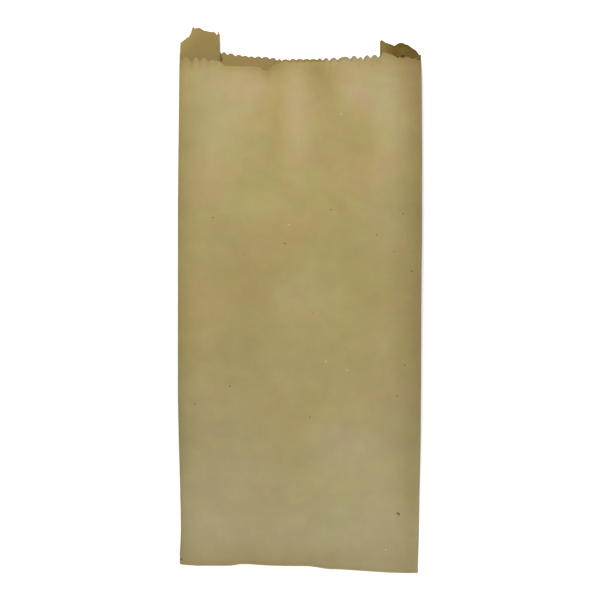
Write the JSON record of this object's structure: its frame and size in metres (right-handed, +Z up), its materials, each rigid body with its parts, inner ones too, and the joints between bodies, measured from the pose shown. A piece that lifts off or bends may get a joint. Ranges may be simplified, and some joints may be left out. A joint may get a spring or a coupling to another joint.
{
  "type": "paper lunch bag",
  "caption": "Brown kraft paper lunch bag with side gussets, serrated mouth, torn gusset ends and a folded, pasted bottom, lying flat and slightly open.",
  "frame": {"origin": "on the resting surface, under the middle of the bag's bounding box", "axes": "+X across the bag to its right-hand side seen from the front, +Y from the bottom fold towards the mouth, +Z up out of the front panel"},
  "size_m": [0.1302, 0.2916, 0.012],
  "materials": {
    "kraft_paper": "matte unbleached kraft"
  },
  "bodies": {
    "root": {"paper_bag": "kraft_paper"}
  },
  "joints": []
}
